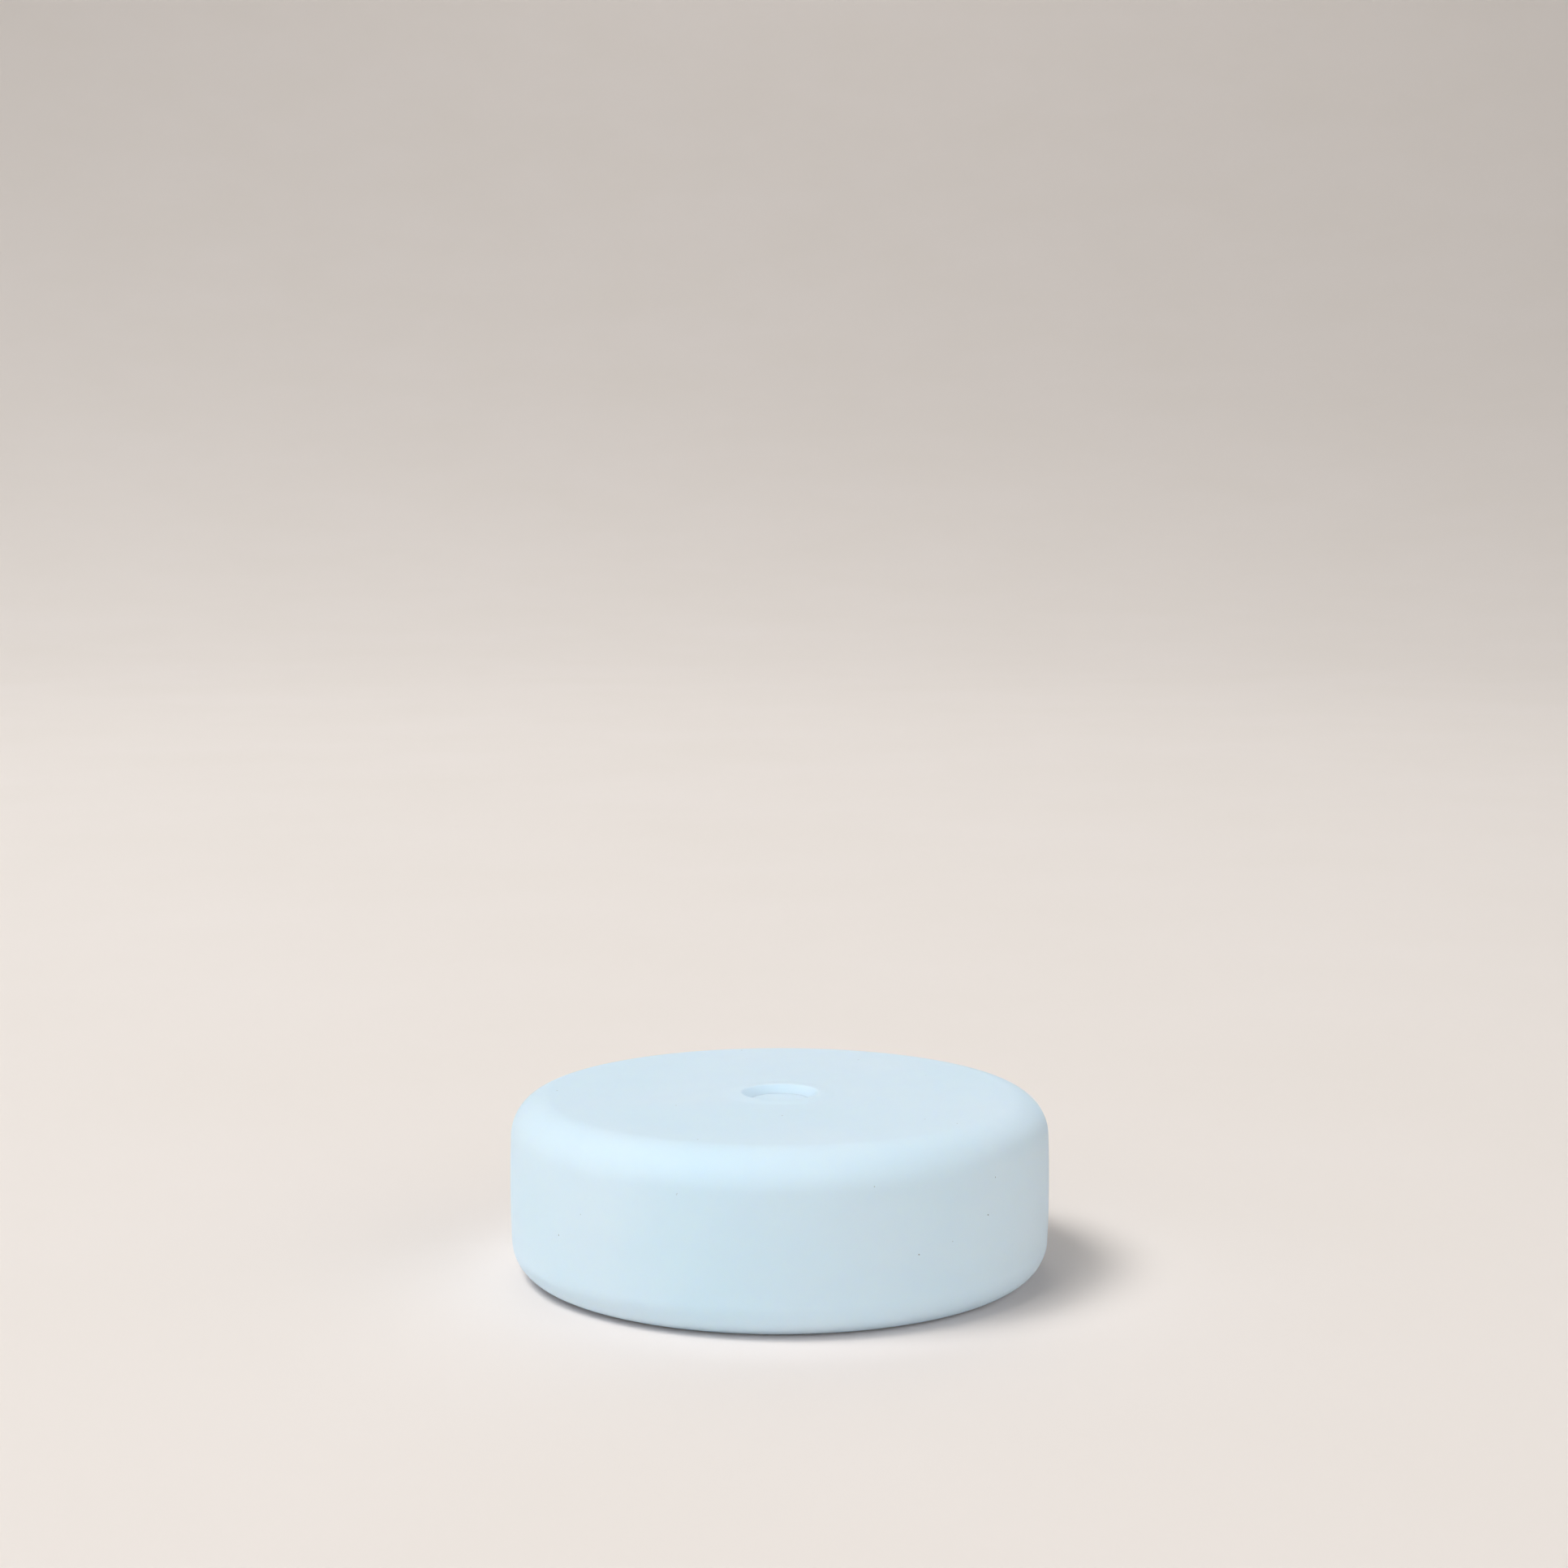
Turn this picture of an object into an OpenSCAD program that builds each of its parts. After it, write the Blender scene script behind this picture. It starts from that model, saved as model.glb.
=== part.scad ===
// Soft-skinned hockey puck of regulation size, standing on its lower face.
// One seamless skin, a poured core inside it, and a fill port in the upper face: a seat
// bonded under the skin, closed by a push-in plug at the bottom of the dimple.
// Millimetres. The origin is the centre of the resting face and +Z is the puck's axis.

/* [Puck] */
// Diameter at the widest point of the side
puck_d = 76.2; // [70:0.1:84]
// Thickness over all, from the resting face to the crest of the lip
puck_h = 25.4; // [23:0.1:28]
// Radius of the rounded upper edge
upper_edge_r = 5.4; // [4:0.1:6.5]
// Radius of the rounded lower edge
lower_edge_r = 5.0; // [4:0.1:6.5]
// How far the side swells out halfway up
side_bulge = 0.42; // [0.2:0.02:1]

/* [Skin] */
// Thickness of the skin
skin_t = 3.0; // [2.8:0.1:3.6]

/* [Dimple] */
// Height of the low lip above the upper face
lip_h = 0.2; // [0.1:0.05:0.4]
// Radius at which the lip rises from the upper face
lip_foot_r = 8.4; // [7.8:0.1:10]
// Radius of the crest of the lip
lip_crest_r = 5.7; // [5.5:0.1:6.2]
// Radius of the rounding from the crest into the dimple
rim_r = 0.7; // [0.4:0.1:0.8]
// Depth of the dimple's wall below the upper face
dimple_depth = 0.9; // [0.7:0.05:1.4]

/* [Port] */
// Radius of the opening at the bottom of the dimple
throat_r = 4.2; // [4:0.05:4.4]
// Radius of the seat's barrel
barrel_r = 5.8; // [5.4:0.1:6.2]
// Radius of the flange that is bonded under the skin
flange_r = 9.5; // [8.4:0.1:11]
// Thickness of the flange
flange_t = 1.2; // [0.8:0.1:1.6]
// Radius of the ring that keys the seat into the core
key_r = 7.0; // [6.6:0.1:8]
// Thickness of the key ring
key_t = 1.0; // [0.8:0.1:2]
// Length of the seat, from under the skin to its lower end
seat_l = 10.2; // [9:0.1:12]
// Depth of the counterbore that the plug's head sits in
counterbore_t = 0.7; // [0.4:0.1:1]
// Radius of the tapered bore at its top
bore_top_r = 3.0; // [2.7:0.05:3.2]
// Radius of the tapered bore at its lower end
bore_end_r = 2.5; // [2:0.05:2.65]

/* [Plug] */
// Depth of the dish in the top of the head
dish_depth = 0.2; // [0.1:0.05:0.4]
// Radius of the rounded rim of the head
head_edge_r = 0.15; // [0.1:0.05:0.3]
// Number of sealing waves along the stem
wave_count = 3; // [2:1:4]
// Depth of each wave
wave_depth = 0.2; // [0.1:0.05:0.3]
// Gap between the stem's tip and the core below it
tip_gap = 0.8; // [0.3:0.1:1.5]
// Radius of the rounding at the stem's tip
tip_r = 0.8; // [0.3:0.1:1]
// Radial gap between the plug and its seat
fit_gap = 0.05; // [0.02:0.01:0.1]

/* [Smoothness] */
// Straight steps in each rounded edge
edge_steps = 18; // [8:1:32]
// Straight steps in each wave of the stem
wave_steps = 12; // [8:1:24]
// Sides of each round shape
round_fn = 128; // [48:8:256]

/* [Hidden] */

skin_blue = "#cde3f1";
plug_blue = "#c3dcec";
seat_white = "#e9edef";
core_grey = "#dcd8cf";

puck_r = puck_d / 2;
face_z = puck_h - lip_h;
mid_z = face_z / 2;

// The side is one wide arc, whose centre lies far beyond the axis.
side_r = (mid_z * mid_z + side_bulge * side_bulge) / (2 * side_bulge);
side_x = puck_r - side_r;

// Each edge arc touches its flat face and the side arc, so both centres are fixed.
function edge_centre_x(r) = side_x + sqrt((side_r - r) ^ 2 - (mid_z - r) ^ 2);
function edge_join_angle(r) = asin((mid_z - r) / (side_r - r));
upper_x = edge_centre_x(upper_edge_r);
lower_x = edge_centre_x(lower_edge_r);
upper_join = edge_join_angle(upper_edge_r);
lower_join = edge_join_angle(lower_edge_r);

// Points along an arc, with both its ends
function arc(x, z, r, from, to, steps) =
    [for (i = [0:steps]) let (a = from + (to - from) * i / steps) [x + r * cos(a), z + r * sin(a)]];

// The side arc without its ends, which belong to the edge arcs
function side_arc(inset) =
    [for (i = [1:edge_steps - 1])
        let (a = -lower_join + (upper_join + lower_join) * i / edge_steps)
        [side_x + (side_r - inset) * cos(a), mid_z + (side_r - inset) * sin(a)]];

// Half section of the puck's edge, from the lower face round to the upper one, moved inwards by inset
function edge_section(inset) = concat(
    arc(lower_x, lower_edge_r, lower_edge_r - inset, -90, -lower_join, edge_steps),
    side_arc(inset),
    arc(upper_x, face_z - upper_edge_r, upper_edge_r - inset, upper_join, 90, edge_steps));

// The dimple's straight wall runs from the throat's edge to where it touches the rim's rounding.
throat_z = face_z - dimple_depth;
rim_z = puck_h - rim_r;
throat_to_rim = norm([lip_crest_r - throat_r, rim_z - throat_z]);
throat_direction = 180 + atan2(rim_z - throat_z, lip_crest_r - throat_r);
rim_end_angle = throat_direction - acos(rim_r / throat_to_rim);

// The lip's flank rises from the upper face to the crest in half a wave
function lip_flank() =
    [for (i = [0:edge_steps - 1])
        let (t = i / edge_steps)
        [lip_foot_r + (lip_crest_r - lip_foot_r) * t, face_z + lip_h * (1 - cos(180 * t)) / 2]];

// Half section of the dimple: up the flank, over the crest and down to the throat
function dimple_section() = concat(
    lip_flank(),
    arc(lip_crest_r, rim_z, rim_r, 90, rim_end_angle, edge_steps),
    [[throat_r, throat_z]]);

// Heights in the port, from the top down
under_skin_z = face_z - skin_t;
plug_seat_z = under_skin_z - counterbore_t;
flange_z = under_skin_z - flange_t;
seat_end_z = under_skin_z - seat_l;

// The plug, inside its seat by the gap
head_r = throat_r - fit_gap;
stem_top_r = bore_top_r - fit_gap;
bore_taper = (bore_top_r - bore_end_r) / (plug_seat_z - seat_end_z);
stem_end_z = seat_end_z + tip_gap;
stem_end_r = stem_top_r - (plug_seat_z - stem_end_z) * bore_taper;
tip_taper = tip_r * bore_taper;
tip_step = 90 / edge_steps;
dish_w = head_r - head_edge_r;
dish_r = (dish_w * dish_w + dish_depth * dish_depth) / (2 * dish_depth);
dish_half_angle = asin(dish_w / dish_r);

// Side of the stem from its lower end up, as waves that reach out to the taper
function stem_side() =
    [for (i = [0:wave_count * wave_steps])
        let (t = i / (wave_count * wave_steps))
        [stem_end_r + tip_taper + (stem_top_r - stem_end_r - tip_taper) * t
            - wave_depth * (1 - cos(360 * wave_count * t)) / 2,
         stem_end_z + tip_r + (plug_seat_z - stem_end_z - tip_r) * t]];

// Outside of the seat, which the core is poured around
module seat_outline() {
    translate([0, flange_z])
        square([flange_r, flange_t]);
    translate([0, seat_end_z])
        square([barrel_r, seat_l]);
    translate([0, seat_end_z])
        square([key_r, key_t]);
}

// One seamless skin with the port's hole through its upper wall
module skin() {
    inner = edge_section(skin_t);
    color(skin_blue)
        rotate_extrude($fn = round_fn)
            polygon(concat(
                [[0, 0]],
                edge_section(0),
                dimple_section(),
                [[throat_r, under_skin_z]],
                [for (i = [len(inner) - 1:-1:0]) inner[i]],
                [[0, skin_t]]));
}

// Poured core, which fills the skin and grips the seat
module core() {
    color(core_grey)
        rotate_extrude($fn = round_fn)
            difference() {
                polygon(concat([[0, skin_t]], edge_section(skin_t), [[0, under_skin_z]]));
                seat_outline();
            }
}

// Seat for the plug: flange, barrel and key ring, with a counterbore and a tapered bore
module port_seat() {
    color(seat_white)
        rotate_extrude($fn = round_fn)
            difference() {
                seat_outline();
                polygon([
                    [0, seat_end_z],
                    [bore_end_r, seat_end_z],
                    [bore_top_r, plug_seat_z],
                    [throat_r, plug_seat_z],
                    [throat_r, under_skin_z],
                    [0, under_skin_z]]);
            }
}

// Push-in plug: a dished head on a tapered, waved stem with a round tip
module port_plug() {
    color(plug_blue)
        rotate_extrude($fn = round_fn)
            polygon(concat(
                [[0, stem_end_z]],
                arc(stem_end_r + tip_taper - tip_r, stem_end_z + tip_r, tip_r, -90, -tip_step, edge_steps),
                stem_side(),
                [[head_r, plug_seat_z]],
                arc(head_r - head_edge_r, throat_z - head_edge_r, head_edge_r, 0, 90, edge_steps),
                [for (i = [1:edge_steps])
                    let (a = dish_half_angle * (1 - i / edge_steps))
                    [dish_r * sin(a), throat_z - dish_depth + dish_r * (1 - cos(a))]]));
}

skin();
core();
port_seat();
port_plug();
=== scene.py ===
from math import acos, asin, atan2, cos, degrees, hypot, pi, radians, sin, sqrt

import bpy
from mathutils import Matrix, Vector


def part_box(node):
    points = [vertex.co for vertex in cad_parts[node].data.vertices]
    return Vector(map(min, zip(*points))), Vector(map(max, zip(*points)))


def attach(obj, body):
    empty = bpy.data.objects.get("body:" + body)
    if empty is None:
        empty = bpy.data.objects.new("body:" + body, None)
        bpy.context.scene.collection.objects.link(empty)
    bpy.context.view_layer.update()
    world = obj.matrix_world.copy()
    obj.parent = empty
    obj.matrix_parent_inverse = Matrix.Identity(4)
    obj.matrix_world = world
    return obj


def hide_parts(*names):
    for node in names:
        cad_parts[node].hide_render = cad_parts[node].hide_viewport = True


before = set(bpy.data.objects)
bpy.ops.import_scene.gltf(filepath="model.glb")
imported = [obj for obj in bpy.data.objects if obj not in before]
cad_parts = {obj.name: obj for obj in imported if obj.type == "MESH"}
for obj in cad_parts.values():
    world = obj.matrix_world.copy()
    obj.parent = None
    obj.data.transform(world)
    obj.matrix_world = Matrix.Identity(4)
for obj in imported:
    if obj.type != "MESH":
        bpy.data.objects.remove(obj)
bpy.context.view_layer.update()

mm = 0.001


def nodeBox(node):
    low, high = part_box(node)
    return [v / mm for v in low], [v / mm for v in high]


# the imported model's own sizes, in mm
skinLow, skinHigh = nodeBox("skin")
coreLow, coreHigh = nodeBox("core")
seatLow, seatHigh = nodeBox("port_seat")
plugLow, plugHigh = nodeBox("port_plug")

camera = {
    "lens": 70,  # mm
    "sensor": 36,  # mm wide
    "distance": 440,  # mm from the middle of the puck's foot
    "elevation": 15.1,  # degrees, seen from there
    "pitch": 6.1,  # degrees that the camera looks down
    "sideways": 0.6,  # mm that the camera stands to the right
    "nearest": 0.01,  # m, start and end of what it sees
    "farthest": 30,
}


def placeCamera():
    rise = radians(camera["elevation"])
    away = camera["distance"] * mm
    place = (camera["sideways"] * mm, -away * cos(rise), away * sin(rise))
    bpy.ops.object.camera_add(location=place, rotation=(radians(90 - camera["pitch"]), 0, 0))
    shot = bpy.context.object
    shot.name = "shotCamera"
    shot.data.lens = camera["lens"]
    shot.data.sensor_width = camera["sensor"]
    shot.data.clip_start = camera["nearest"]
    shot.data.clip_end = camera["farthest"]
    bpy.context.scene.camera = shot
    bpy.context.scene.view_settings.view_transform = "Standard"
    bpy.context.scene.view_settings.look = "None"
    print("camera placed")


# A lamp's bearing goes round the puck: 0 on its left, 90 towards the camera, 180 on its right. Its
# height is in degrees above the floor, away and size are in m, and power is in watts.
studio = {
    "floorRadius": 1.2,  # m of flat floor round the puck
    "coveRadius": 2.5,  # m, where the floor curves up
    "coveEnd": 75,  # degrees of the curve
    "coveSteps": 30,
    "turns": 96,
    "lights": [
        {"name": "keyFront", "bearing": 40, "height": 60, "away": 4.0, "size": 1.9, "power": 50},
        {"name": "keyHigh", "bearing": 20, "height": 68, "away": 4.0, "size": 1.9, "power": 11},
        {"name": "keyLeft", "bearing": 13, "height": 61, "away": 2.2, "size": 0.9, "power": 16},
        {"name": "frontLeft", "bearing": 60, "height": 35, "away": 3.0, "size": 1.6, "power": 7},
        {"name": "frontLow", "bearing": 90, "height": 12, "away": 2.6, "size": 1.0, "power": 9},
        {"name": "fillRight", "bearing": 180, "height": 30, "away": 3.0, "size": 2.2, "power": 8},
        {"name": "fillFront", "bearing": 140, "height": 30, "away": 3.0, "size": 2.2, "power": 14},
        {"name": "backWide", "bearing": -90, "height": 35, "away": 3.0, "size": 2.0, "power": 6.5},
        {"name": "backLeft", "bearing": -45, "height": 35, "away": 3.0, "size": 2.0, "power": 2.6},
        {"name": "backNear", "bearing": -90, "height": 45, "away": 1.6, "size": 1.0, "power": 1.6},
    ],
    # a gridded lamp that only reaches the floor behind the puck
    "wash": {"place": (-0.3, 1.6, 2.3), "aim": (-0.3, 1.2, 0), "size": 1.0, "spread": 70, "power": 1.0},
}


def buildStudio():
    points = [(0, 0), (studio["floorRadius"] / mm, 0)]
    for i in range(1, studio["coveSteps"] + 1):
        turn = radians(studio["coveEnd"] * i / studio["coveSteps"])
        out = studio["floorRadius"] + studio["coveRadius"] * sin(turn)
        up = studio["coveRadius"] * (1 - cos(turn))
        points.append((out / mm, up / mm))
    floor = turnOutline("studioFloor", points, studio["turns"], inside=True)
    floor.data.materials.append(backdropPaper())
    for light in studio["lights"]:
        bearing = radians(light["bearing"])
        height = radians(light["height"])
        ahead = light["away"] * cos(height)
        place = (-ahead * cos(bearing), -ahead * sin(bearing), light["away"] * sin(height))
        addLamp(light["name"], place, (0, 0, 0), light["size"], light["power"])
    wash = studio["wash"]
    lamp = addLamp("wash", wash["place"], wash["aim"], wash["size"], wash["power"])
    lamp.data.spread = radians(wash["spread"])
    world = bpy.data.worlds.new("studioRoom")
    world.use_nodes = True
    world.node_tree.nodes["Background"].inputs["Color"].default_value = (0, 0, 0, 1)
    bpy.context.scene.world = world
    print("studio built:", len(studio["lights"]) + 1, "lights")


def addLamp(name, place, aim, size, power):
    bpy.ops.object.light_add(type="AREA", location=place)
    lamp = bpy.context.object
    lamp.name = name
    lamp.data.shape = "DISK"
    lamp.data.size = size
    lamp.data.energy = power
    back = Vector(place) - Vector(aim)  # a lamp shines along its own -Z
    lamp.rotation_euler = back.to_track_quat("Z", "Y").to_euler()
    return lamp


weld = 0.0005  # mm, points closer than this are joined where the turned shape meets itself or its axis


# spins an outline of (radius, height) points in mm round Z
def turnOutline(name, points, steps, inside=False, sharpAngle=30):
    bpy.ops.object.select_all(action="DESELECT")
    startX, startZ = points[0]
    bpy.ops.mesh.primitive_plane_add(size=mm, location=(startX * mm, 0, startZ * mm))
    piece = bpy.context.object
    piece.name = name
    bpy.ops.object.mode_set(mode="EDIT")
    bpy.ops.mesh.select_all(action="SELECT")
    bpy.ops.mesh.merge(type="CENTER")
    for (x0, z0), (x1, z1) in zip(points, points[1:]):
        step = ((x1 - x0) * mm, 0, (z1 - z0) * mm)
        bpy.ops.mesh.extrude_region_move(TRANSFORM_OT_translate={"value": step})
    bpy.ops.mesh.select_all(action="SELECT")
    bpy.ops.mesh.spin(steps=steps, angle=2 * pi, center=(0, 0, 0), axis=(0, 0, 1))
    bpy.ops.mesh.select_all(action="SELECT")
    bpy.ops.mesh.remove_doubles(threshold=weld * mm)
    bpy.ops.mesh.normals_make_consistent(inside=inside)
    bpy.ops.object.mode_set(mode="OBJECT")
    bpy.ops.object.transform_apply(location=True, rotation=True, scale=True)
    bpy.ops.object.shade_smooth_by_angle(angle=radians(sharpAngle))
    return piece


def arc(x, z, r, start, end, steps):
    turns = [radians(start + (end - start) * i / steps) for i in range(steps + 1)]
    return [(x + r * cos(a), z + r * sin(a)) for a in turns]


# points between two ends of a straight stretch, without the ends
def between(start, end, count):
    (x0, z0), (x1, z1) = start, end
    shares = [i / (count + 1) for i in range(1, count + 1)]
    return [(x0 + (x1 - x0) * s, z0 + (z1 - z0) * s) for s in shares]


faceMargin = 0.25  # mm from a flat face's first and last ring to its ends


# rings across a flat face, with one close to each end that keeps the shading of the rounded edge off it
def faceRings(x0, x1, z, count):
    margin = faceMargin if x1 > x0 else -faceMargin
    start, end = (x0 + margin, z), (x1 - margin, z)
    return [start] + between(start, end, count) + [end]


skin = {
    "upperEdge": 5.4,  # mm, radius of the rounded upper edge
    "lowerEdge": 5.0,
    "bulge": 0.42,  # how far the side swells out halfway up
    "lipHeight": 0.2,  # of the low lip round the dimple
    "lipFoot": 8.4,  # radius at which the lip starts to rise
    "lipCrest": 5.7,
    "rim": 0.7,  # rounding from the crest into the dimple
    "throat": 4.2,  # radius of the opening at the dimple's bottom
    "edgeSteps": 26,
    "lipSteps": 18,
    "rimSteps": 14,
    "throatRings": 5,
    "footRings": 5,  # on the flat that the puck rests on
    "faceRings": 12,  # on the upper face outside the lip
    "insideRings": 3,
    "turns": 320,
}
faceHeight = skinHigh[2] - skin["lipHeight"]


# the puck's edge from the lower face round to the upper one: two tight arcs and a wide one for the side
def edgeSection(inset):
    half = faceHeight / 2
    bulge = skin["bulge"]
    sideRadius = (half * half + bulge * bulge) / (2 * bulge)
    sideX = skinHigh[0] - sideRadius
    lowR, topR = skin["lowerEdge"], skin["upperEdge"]
    lowX = sideX + sqrt((sideRadius - lowR) ** 2 - (half - lowR) ** 2)
    topX = sideX + sqrt((sideRadius - topR) ** 2 - (half - topR) ** 2)
    lowTurn = degrees(asin((half - lowR) / (sideRadius - lowR)))
    topTurn = degrees(asin((half - topR) / (sideRadius - topR)))
    steps = skin["edgeSteps"]
    points = arc(lowX, lowR, lowR - inset, -90, -lowTurn, steps)
    points += arc(sideX, half, sideRadius - inset, -lowTurn, topTurn, steps)[1:-1]
    points += arc(topX, faceHeight - topR, topR - inset, topTurn, 90, steps)
    return points


def dimpleSection():
    crestHeight = skinHigh[2]
    throat = (skin["throat"], plugHigh[2])
    rim, crest, foot = skin["rim"], skin["lipCrest"], skin["lipFoot"]
    points = []
    for i in range(skin["lipSteps"]):
        share = i / skin["lipSteps"]
        rise = skin["lipHeight"] * (1 - cos(pi * share)) / 2
        points.append((foot + (crest - foot) * share, faceHeight + rise))
    dropX = crest - throat[0]
    dropZ = crestHeight - rim - throat[1]
    wallTurn = 180 + degrees(atan2(dropZ, dropX)) - degrees(acos(rim / hypot(dropX, dropZ)))
    points += arc(crest, crestHeight - rim, rim, 90, wallTurn, skin["rimSteps"])
    points += between(points[-1], throat, skin["throatRings"])
    points.append(throat)
    return points


def buildSkin():
    wall = coreLow[2]
    underSkin = coreHigh[2]
    throat = skin["throat"]
    outer = edgeSection(0)
    inner = edgeSection(wall)
    outline = [(0, 0)] + faceRings(0, outer[0][0], 0, skin["footRings"])
    outline += outer
    outline += faceRings(outer[-1][0], skin["lipFoot"], faceHeight, skin["faceRings"])
    outline += dimpleSection()
    outline.append((throat, underSkin))
    outline += faceRings(throat, inner[-1][0], underSkin, skin["insideRings"])
    outline += inner[::-1]
    outline += faceRings(inner[0][0], 0, wall, skin["insideRings"])
    outline.append((0, wall))
    piece = turnOutline("puckSkin", outline, skin["turns"])
    piece.data.materials.append(castVinyl())
    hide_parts("skin")
    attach(piece, "puck")
    print("skin turned:", len(piece.data.polygons), "faces")


port = {
    "flange": 1.2,  # mm, thickness of the ring bonded under the skin
    "barrel": 5.8,  # radius
    "keyRing": 7.0,  # radius of the ring that the core grips
    "keyHeight": 1.0,
    "counterbore": 0.7,  # depth that the plug's head sinks into
    "boreTop": 3.0,  # radius of the tapered bore at its top
    "boreEnd": 2.5,
    "gap": 0.05,  # between the plug and the seat, on the radius
    "chamfer": 0.12,  # on the seat's outer corners
    "turns": 160,
}
headSeat = seatHigh[2] - port["counterbore"]


def buildSeat():
    top, end = seatHigh[2], seatLow[2]
    flange, barrel, key = seatHigh[0], port["barrel"], port["keyRing"]
    underFlange, keyTop = top - port["flange"], end + port["keyHeight"]
    cut = port["chamfer"]
    boreTop, boreEnd, head = port["boreTop"], port["boreEnd"], skin["throat"]
    outline = [(boreEnd, end), (key - cut, end), (key, end + cut), (key, keyTop - cut), (key - cut, keyTop)]
    outline += [(barrel, keyTop), (barrel, underFlange)]
    outline += [(flange - cut, underFlange), (flange, underFlange + cut)]
    outline += [(flange, top - cut), (flange - cut, top), (head, top), (head, headSeat)]
    outline += [(boreTop, headSeat), (boreEnd, end)]
    piece = turnOutline("portSeat", outline, port["turns"])
    piece.data.materials.append(mouldedPvc())
    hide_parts("port_seat")
    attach(piece, "puck")
    print("seat turned:", len(piece.data.polygons), "faces")


plug = {
    "dish": 0.2,  # mm, hollow in the top of the head
    "headEdge": 0.15,  # rounding of the head's rim
    "waves": 3,  # sealing waves along the stem
    "waveDepth": 0.2,
    "tip": 0.8,  # rounding at the stem's end
    "waveSteps": 24,
    "tipSteps": 12,
    "edgeSteps": 8,
    "dishSteps": 18,
    "turns": 192,
}


def buildPlug():
    top, end, headRadius = plugHigh[2], plugLow[2], plugHigh[0]
    taper = (port["boreTop"] - port["boreEnd"]) / (headSeat - seatLow[2])
    stemTop = port["boreTop"] - port["gap"]
    tip, edge, dish = plug["tip"], plug["headEdge"], plug["dish"]
    stemEnd = stemTop - (headSeat - end - tip) * taper
    outline = [(0, end)]
    outline += arc(stemEnd - tip, end + tip, tip, -90, 0, plug["tipSteps"])
    stemSteps = plug["waves"] * plug["waveSteps"]
    for i in range(1, stemSteps + 1):
        share = i / stemSteps
        hollow = plug["waveDepth"] * (1 - cos(2 * pi * plug["waves"] * share)) / 2
        radius = stemEnd + (stemTop - stemEnd) * share - hollow
        outline.append((radius, end + tip + (headSeat - end - tip) * share))
    outline.append((headRadius, headSeat))
    outline += arc(headRadius - edge, top - edge, edge, 0, 90, plug["edgeSteps"])
    dishWidth = headRadius - edge
    dishRadius = (dishWidth ** 2 + dish ** 2) / (2 * dish)
    dishTurn = degrees(asin(dishWidth / dishRadius))
    outline += arc(0, top - dish + dishRadius, dishRadius, dishTurn - 90, -90, plug["dishSteps"])[1:]
    piece = turnOutline("portPlug", outline, plug["turns"])
    piece.data.materials.append(mouldedVinyl())
    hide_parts("port_plug")
    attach(piece, "plug")
    print("plug turned:", len(piece.data.polygons), "faces")


core = {
    "faceRings": 3,
    "turns": 192,
}


# the core fills the skin up to the seat, so its outline is theirs
def buildCore():
    wall, top = coreLow[2], coreHigh[2]
    edge = edgeSection(wall)
    flange, barrel, key = seatHigh[0], port["barrel"], port["keyRing"]
    seatEnd = seatLow[2]
    underFlange, keyTop = top - port["flange"], seatEnd + port["keyHeight"]
    outline = [(0, wall)] + faceRings(0, edge[0][0], wall, core["faceRings"])
    outline += edge
    outline += faceRings(edge[-1][0], flange, top, core["faceRings"])
    outline += [(flange, top), (flange, underFlange), (barrel, underFlange)]
    outline += [(barrel, keyTop), (key, keyTop), (key, seatEnd), (0, seatEnd)]
    piece = turnOutline("puckCore", outline, core["turns"])
    piece.data.materials.append(pouredElastomer())
    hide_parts("core")
    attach(piece, "puck")
    print("core turned:", len(piece.data.polygons), "faces")


def linear(colour):
    parts = [int(colour[i:i + 2], 16) / 255 for i in (1, 3, 5)]
    return tuple(c / 12.92 if c <= 0.04045 else ((c + 0.055) / 1.055) ** 2.4 for c in parts) + (1,)


def newMaterial(name):
    material = bpy.data.materials.new(name)
    material.use_nodes = True
    tree = material.node_tree
    return material, tree, tree.nodes["Principled BSDF"]


# settings and links go by socket name or number; other settings are the node's own
def addNode(tree, kind, settings, links):
    node = tree.nodes.new(kind)
    for name, value in settings.items():
        if isinstance(name, int) or name in node.inputs:
            node.inputs[name].default_value = value
        else:
            setattr(node, name, value)
    for name, source in links.items():
        tree.links.new(source, node.inputs[name])
    return node


# a pattern's scale from its size in mm
def perMetre(size):
    return 1 / (size * mm)


# Backdrop paper, rolled and uncoated: a matt warm white whose fibres leave a barely visible cloudiness.
backdrop = {
    "paler": "#efe8e3",
    "deeper": "#ebe4dd",
    "cloud": 90,  # mm
    "fibre": 1.2,  # mm, coarser than the real fibres so that it shows
    "fibreDepth": 0.02,
    "fibreStrength": 0.15,
    "roughness": 0.75,
    "specular": 0.25,
}


def backdropPaper():
    material, tree, shader = newMaterial("uncoatedBackdropPaper")
    place = addNode(tree, "ShaderNodeTexCoord", {}, {}).outputs["Object"]
    cloud = addNode(tree, "ShaderNodeTexNoise", {"Scale": perMetre(backdrop["cloud"]), "Detail": 3},
                    {"Vector": place})
    tones = {"data_type": "RGBA", 6: linear(backdrop["deeper"]), 7: linear(backdrop["paler"])}
    shade = addNode(tree, "ShaderNodeMix", tones, {0: cloud.outputs["Fac"]})
    tree.links.new(shade.outputs[2], shader.inputs["Base Color"])
    fibre = addNode(tree, "ShaderNodeTexNoise", {"Scale": perMetre(backdrop["fibre"]), "Detail": 4},
                    {"Vector": place})
    relief = {"Strength": backdrop["fibreStrength"], "Distance": backdrop["fibreDepth"] * mm}
    bump = addNode(tree, "ShaderNodeBump", relief, {"Height": fibre.outputs["Fac"]})
    tree.links.new(bump.outputs["Normal"], shader.inputs["Normal"])
    shader.inputs["Roughness"].default_value = backdrop["roughness"]
    shader.inputs["Specular IOR Level"].default_value = backdrop["specular"]
    return material


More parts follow.
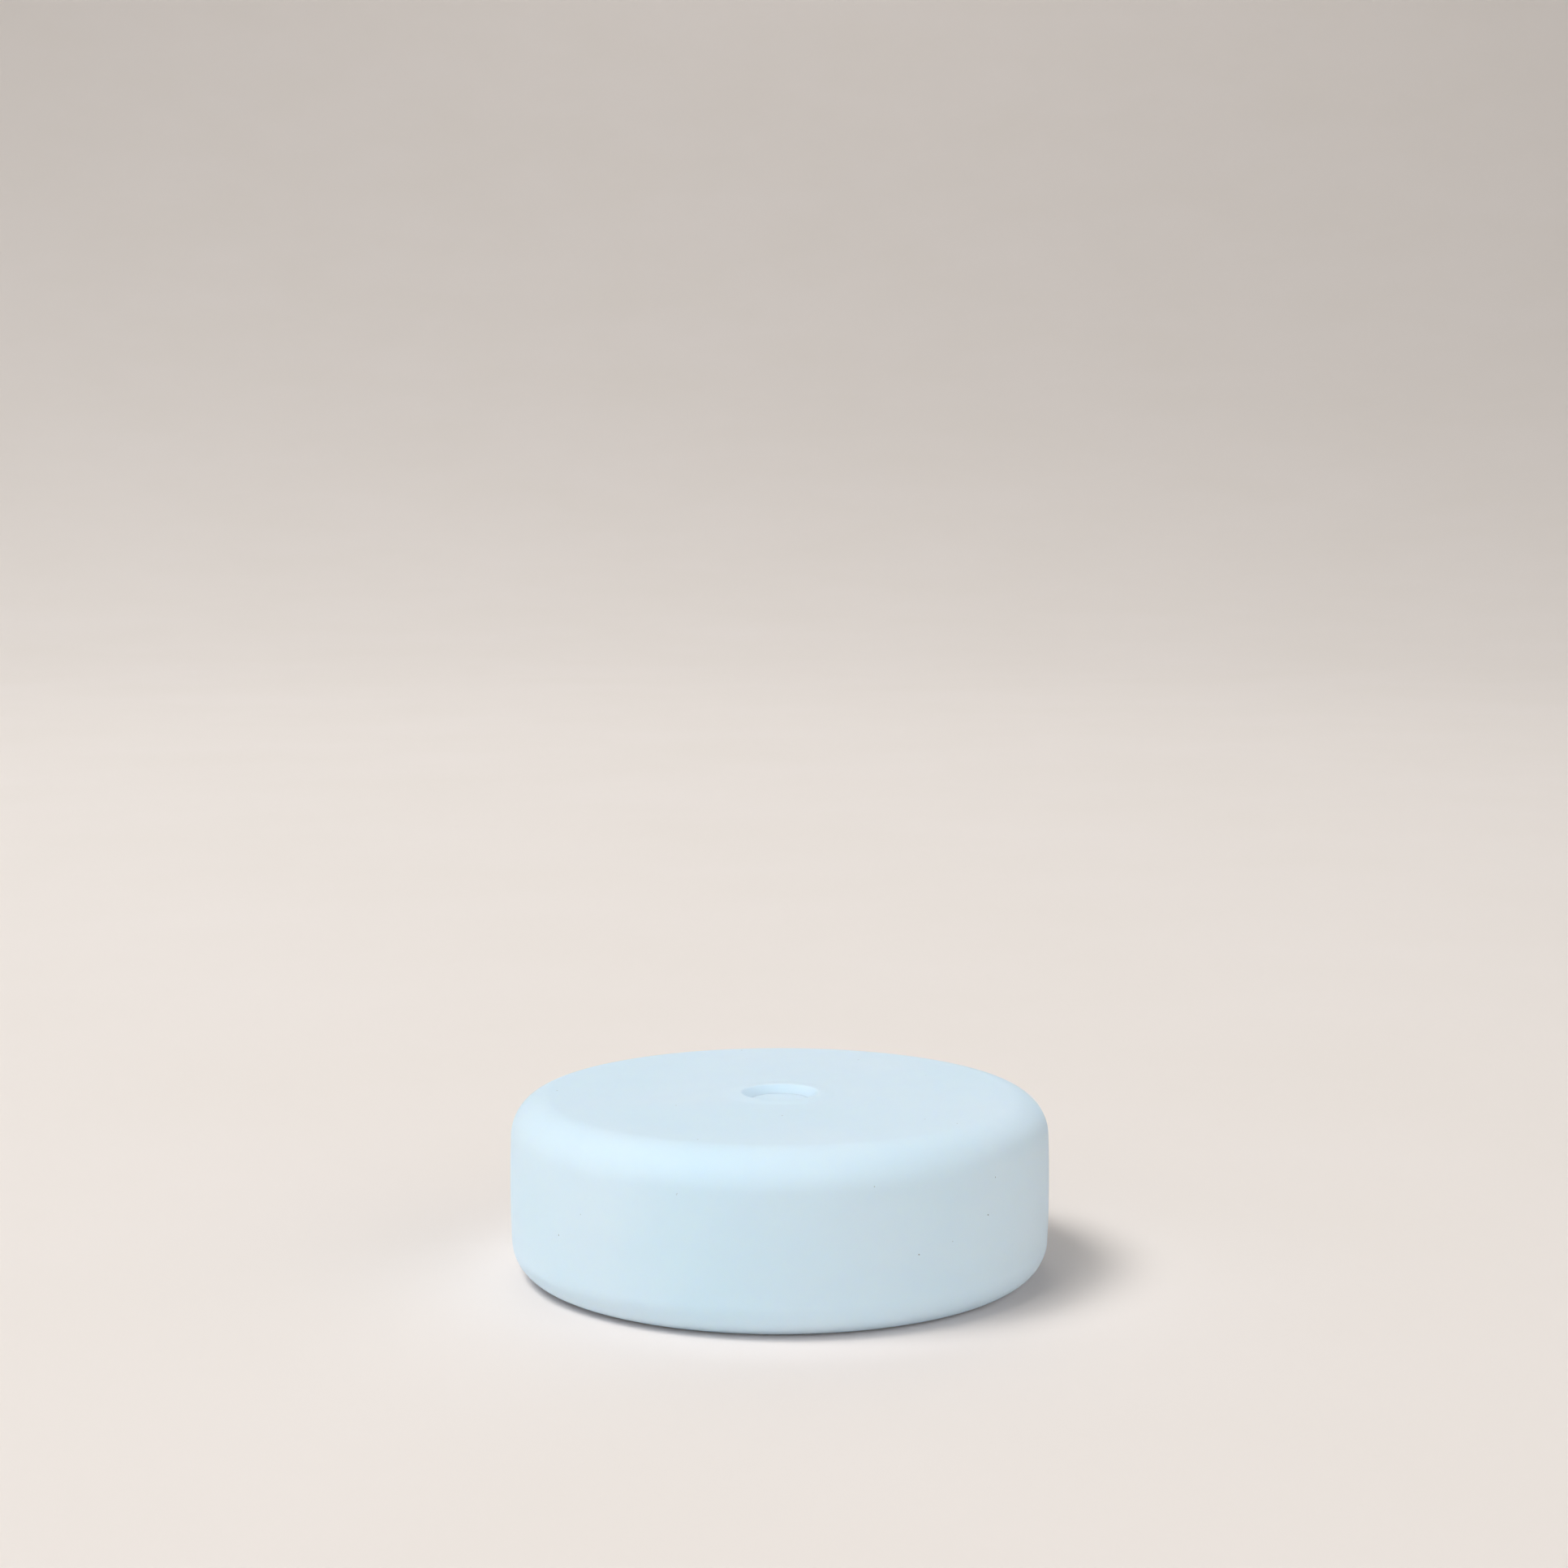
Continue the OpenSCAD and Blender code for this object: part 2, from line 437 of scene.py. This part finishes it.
# What every soft, milky PVC here shares: light spreads a little under the surface, the highlight is
# weak, and a faint bluish bloom keeps a face that is seen at a flat angle pale.
softPvc = {
    "ior": 1.53,
    "specular": 0.2,
    "bloom": 0.35,
    "bloomTint": "#c8e4ff",
    "bloomRoughness": 0.5,
    "lightSpread": 1.0,  # mm
    "spreadByColour": (1.0, 1.0, 1.1),  # the share of it for red, green and blue
}


def softenPvc(shader):
    shader.inputs["IOR"].default_value = softPvc["ior"]
    shader.inputs["Specular IOR Level"].default_value = softPvc["specular"]
    shader.inputs["Sheen Weight"].default_value = softPvc["bloom"]
    shader.inputs["Sheen Tint"].default_value = linear(softPvc["bloomTint"])
    shader.inputs["Sheen Roughness"].default_value = softPvc["bloomRoughness"]
    shader.inputs["Subsurface Weight"].default_value = 1
    shader.inputs["Subsurface Radius"].default_value = softPvc["spreadByColour"]
    shader.inputs["Subsurface Scale"].default_value = softPvc["lightSpread"] * mm


# Soft PVC, rotationally cast from plastisol in a blasted mould: pale blue with soft shading. The mould
# leaves a satin skin, the cast surface waves a little, the pigment is a touch uneven, and the soft
# surface picks up a few specks of dust.
vinyl = {
    "tone": "#d3e8ff",
    "bluer": "#d0e8ff",
    "paler": "#d6e9fe",
    "cloud": 34,  # mm, drift of the pigment
    "cloudRange": (0.32, 0.68),  # of the noise, from the bluer tone to the paler one
    "mottle": 5,  # mm, finer unevenness
    "mottleDepth": 0.006,  # share of the brightness, up and down
    "peel": 7,  # mm, the slow waviness of a cast skin
    "peelDepth": 0.006,
    "grain": 0.35,  # mm, blasted mould grain, drawn coarser than the real 0.1 mm so that it can show
    "grainDepth": 0.0035,
    "dustCell": 4.2,  # mm between specks inside the pattern's space
    "dustSize": 0.15,  # mm, radius of the largest speck
    "dustHeart": 0.4,  # share of that radius with the full tone
    "dustRagged": 0.3,  # mm, how far and how finely a speck's edge wanders
    "dustTone": "#8895a0",
    "roughness": 0.64,
    "roughnessDrift": 0.05,
    "noiseRange": (0.3, 0.7),  # nearly all of a noise lies between these
}


def castVinyl():
    material, tree, shader = newMaterial("castPlastisolVinyl")
    place = addNode(tree, "ShaderNodeTexCoord", {}, {}).outputs["Object"]
    cloud = addNode(tree, "ShaderNodeTexNoise", {"Scale": perMetre(vinyl["cloud"]), "Detail": 2},
                    {"Vector": place})
    mottle = addNode(tree, "ShaderNodeTexNoise", {"Scale": perMetre(vinyl["mottle"]), "Detail": 3},
                     {"Vector": place})
    tint = addNode(tree, "ShaderNodeValToRGB", {}, {"Fac": cloud.outputs["Fac"]})
    bluerAt, palerAt = vinyl["cloudRange"]
    tint.color_ramp.elements[0].position = bluerAt
    tint.color_ramp.elements[0].color = linear(vinyl["bluer"])
    tint.color_ramp.elements[1].position = palerAt
    tint.color_ramp.elements[1].color = linear(vinyl["paler"])
    tint.color_ramp.elements.new((bluerAt + palerAt) / 2).color = linear(vinyl["tone"])
    noiseLow, noiseHigh = vinyl["noiseRange"]
    spread = {"From Min": noiseLow, "From Max": noiseHigh,
              "To Min": 1 - vinyl["mottleDepth"], "To Max": 1 + vinyl["mottleDepth"]}
    uneven = addNode(tree, "ShaderNodeMapRange", spread, {"Value": mottle.outputs["Fac"]})
    pigment = addNode(tree, "ShaderNodeVectorMath", {"operation": "SCALE"},
                      {0: tint.outputs["Color"], "Scale": uneven.outputs["Result"]})
    wander = addNode(tree, "ShaderNodeTexNoise", {"Scale": perMetre(vinyl["dustRagged"]), "Detail": 1},
                     {"Vector": place})
    reach = vinyl["dustRagged"] * mm
    ragged = addNode(tree, "ShaderNodeVectorMath", {"operation": "MULTIPLY_ADD", 1: (reach, reach, reach)},
                     {0: wander.outputs["Color"], 2: place})
    dust = addNode(tree, "ShaderNodeTexVoronoi", {"Scale": perMetre(vinyl["dustCell"])},
                   {"Vector": ragged.outputs["Vector"]})
    speckEdge = vinyl["dustSize"] / vinyl["dustCell"]
    speckHeart = vinyl["dustHeart"] * speckEdge
    speck = addNode(tree, "ShaderNodeMapRange", {"From Min": speckEdge, "From Max": speckHeart},
                    {"Value": dust.outputs["Distance"]})
    dusty = addNode(tree, "ShaderNodeMix", {"data_type": "RGBA", 7: linear(vinyl["dustTone"])},
                    {0: speck.outputs["Result"], 6: pigment.outputs["Vector"]})
    tree.links.new(dusty.outputs[2], shader.inputs["Base Color"])
    drift = {"From Min": noiseLow, "From Max": noiseHigh,
             "To Min": vinyl["roughness"] - vinyl["roughnessDrift"],
             "To Max": vinyl["roughness"] + vinyl["roughnessDrift"]}
    satin = addNode(tree, "ShaderNodeMapRange", drift, {"Value": cloud.outputs["Fac"]})
    tree.links.new(satin.outputs["Result"], shader.inputs["Roughness"])
    peel = addNode(tree, "ShaderNodeTexNoise", {"Scale": perMetre(vinyl["peel"]), "Detail": 1},
                   {"Vector": place})
    grain = addNode(tree, "ShaderNodeTexNoise", {"Scale": perMetre(vinyl["grain"]), "Detail": 2},
                    {"Vector": place})
    wavy = addNode(tree, "ShaderNodeBump", {"Strength": 1, "Distance": vinyl["peelDepth"] * mm},
                   {"Height": peel.outputs["Fac"]})
    rough = addNode(tree, "ShaderNodeBump", {"Strength": 1, "Distance": vinyl["grainDepth"] * mm},
                    {"Height": grain.outputs["Fac"], "Normal": wavy.outputs["Normal"]})
    tree.links.new(rough.outputs["Normal"], shader.inputs["Normal"])
    softenPvc(shader)
    return material


waveLength = 2 * pi / 20  # from ring to ring in Blender's wave pattern at scale 1

# Soft PVC, injection moulded in a turned cavity: the same blue, a little smoother than the skin, with
# the cavity's faint turning marks as rings round the axis.
plugVinyl = {
    "tone": "#d1e7fe",
    "paler": "#d6eaff",
    "mottle": 3,  # mm
    "ring": 1.885,  # mm between turning marks, far coarser than the real ones
    "ringDepth": 0.0015,
    "ringWander": 0.3,
    "roughness": 0.6,
    "roughnessDrift": 0.04,
}


def mouldedVinyl():
    material, tree, shader = newMaterial("injectionMouldedSoftVinyl")
    place = addNode(tree, "ShaderNodeTexCoord", {}, {}).outputs["Object"]
    mottle = addNode(tree, "ShaderNodeTexNoise", {"Scale": perMetre(plugVinyl["mottle"]), "Detail": 3},
                     {"Vector": place})
    tones = {"data_type": "RGBA", 6: linear(plugVinyl["tone"]), 7: linear(plugVinyl["paler"])}
    shade = addNode(tree, "ShaderNodeMix", tones, {0: mottle.outputs["Fac"]})
    tree.links.new(shade.outputs[2], shader.inputs["Base Color"])
    turning = {"wave_type": "RINGS", "rings_direction": "Z", "Distortion": plugVinyl["ringWander"],
               "Scale": perMetre(plugVinyl["ring"]) * waveLength}
    ring = addNode(tree, "ShaderNodeTexWave", turning, {"Vector": place})
    bump = addNode(tree, "ShaderNodeBump", {"Strength": 1, "Distance": plugVinyl["ringDepth"] * mm},
                   {"Height": ring.outputs["Fac"]})
    tree.links.new(bump.outputs["Normal"], shader.inputs["Normal"])
    drift = {"To Min": plugVinyl["roughness"] - plugVinyl["roughnessDrift"],
             "To Max": plugVinyl["roughness"] + plugVinyl["roughnessDrift"]}
    satin = addNode(tree, "ShaderNodeMapRange", drift, {"Value": mottle.outputs["Fac"]})
    tree.links.new(satin.outputs["Result"], shader.inputs["Roughness"])
    softenPvc(shader)
    return material


# Rigid PVC, injection moulded: off-white and closed, semi-gloss, with slow flow marks from the gate.
seatPvc = {
    "tone": "#e6e9ea",
    "yellower": "#e2e1d8",
    "flow": 6,  # mm
    "flowTwist": 1.5,
    "flowDepth": 0.004,
    "roughness": 0.36,
    "roughnessDrift": 0.06,
    "ior": 1.53,
}


def mouldedPvc():
    material, tree, shader = newMaterial("injectionMouldedRigidPvc")
    place = addNode(tree, "ShaderNodeTexCoord", {}, {}).outputs["Object"]
    marks = {"Scale": perMetre(seatPvc["flow"]), "Detail": 2, "Distortion": seatPvc["flowTwist"]}
    flow = addNode(tree, "ShaderNodeTexNoise", marks, {"Vector": place})
    tones = {"data_type": "RGBA", 6: linear(seatPvc["tone"]), 7: linear(seatPvc["yellower"])}
    shade = addNode(tree, "ShaderNodeMix", tones, {0: flow.outputs["Fac"]})
    tree.links.new(shade.outputs[2], shader.inputs["Base Color"])
    drift = {"To Min": seatPvc["roughness"] - seatPvc["roughnessDrift"],
             "To Max": seatPvc["roughness"] + seatPvc["roughnessDrift"]}
    gloss = addNode(tree, "ShaderNodeMapRange", drift, {"Value": flow.outputs["Fac"]})
    tree.links.new(gloss.outputs["Result"], shader.inputs["Roughness"])
    bump = addNode(tree, "ShaderNodeBump", {"Strength": 1, "Distance": seatPvc["flowDepth"] * mm},
                   {"Height": flow.outputs["Fac"]})
    tree.links.new(bump.outputs["Normal"], shader.inputs["Normal"])
    shader.inputs["IOR"].default_value = seatPvc["ior"]
    return material


# Polyurethane elastomer, lightly foamed and poured in place: matt stone grey with small closed bubbles,
# whose hollows get painted shade.
foam = {
    "tone": "#dcd8cf",
    # painted shade: the darker colour of a bubble's floor
    "pitShadeTone": "#c2bcb0",
    "bubble": 1.1,  # mm between bubbles
    "bubbleDepth": 0.12,
    "bubbleRange": (0.12, 0.34),  # from a bubble's floor to its edge, in the pattern's own distance
    "cloud": 14,  # mm
    "cloudRange": (0.95, 1.03),  # share of the brightness
    "roughness": 0.8,
}


def pouredElastomer():
    material, tree, shader = newMaterial("pouredElastomerFoam")
    place = addNode(tree, "ShaderNodeTexCoord", {}, {}).outputs["Object"]
    bubble = addNode(tree, "ShaderNodeTexVoronoi", {"Scale": perMetre(foam["bubble"])}, {"Vector": place})
    floorAt, edgeAt = foam["bubbleRange"]
    pit = addNode(tree, "ShaderNodeMapRange", {"From Min": floorAt, "From Max": edgeAt},
                  {"Value": bubble.outputs["Distance"]})
    cloud = addNode(tree, "ShaderNodeTexNoise", {"Scale": perMetre(foam["cloud"]), "Detail": 3},
                    {"Vector": place})
    darkest, palest = foam["cloudRange"]
    uneven = addNode(tree, "ShaderNodeMapRange", {"To Min": darkest, "To Max": palest},
                     {"Value": cloud.outputs["Fac"]})
    # painted shade: the bubble floors take the darker tone, following the same mask as the bump's depth
    tones = {"data_type": "RGBA", 6: linear(foam["pitShadeTone"]), 7: linear(foam["tone"])}
    shade = addNode(tree, "ShaderNodeMix", tones, {0: pit.outputs["Result"]})
    stone = addNode(tree, "ShaderNodeVectorMath", {"operation": "SCALE"},
                    {0: shade.outputs[2], "Scale": uneven.outputs["Result"]})
    tree.links.new(stone.outputs["Vector"], shader.inputs["Base Color"])
    bump = addNode(tree, "ShaderNodeBump", {"Strength": 1, "Distance": foam["bubbleDepth"] * mm},
                   {"Height": pit.outputs["Result"]})
    tree.links.new(bump.outputs["Normal"], shader.inputs["Normal"])
    shader.inputs["Roughness"].default_value = foam["roughness"]
    return material


placeCamera()
buildStudio()
buildSkin()
buildCore()
buildSeat()
buildPlug()
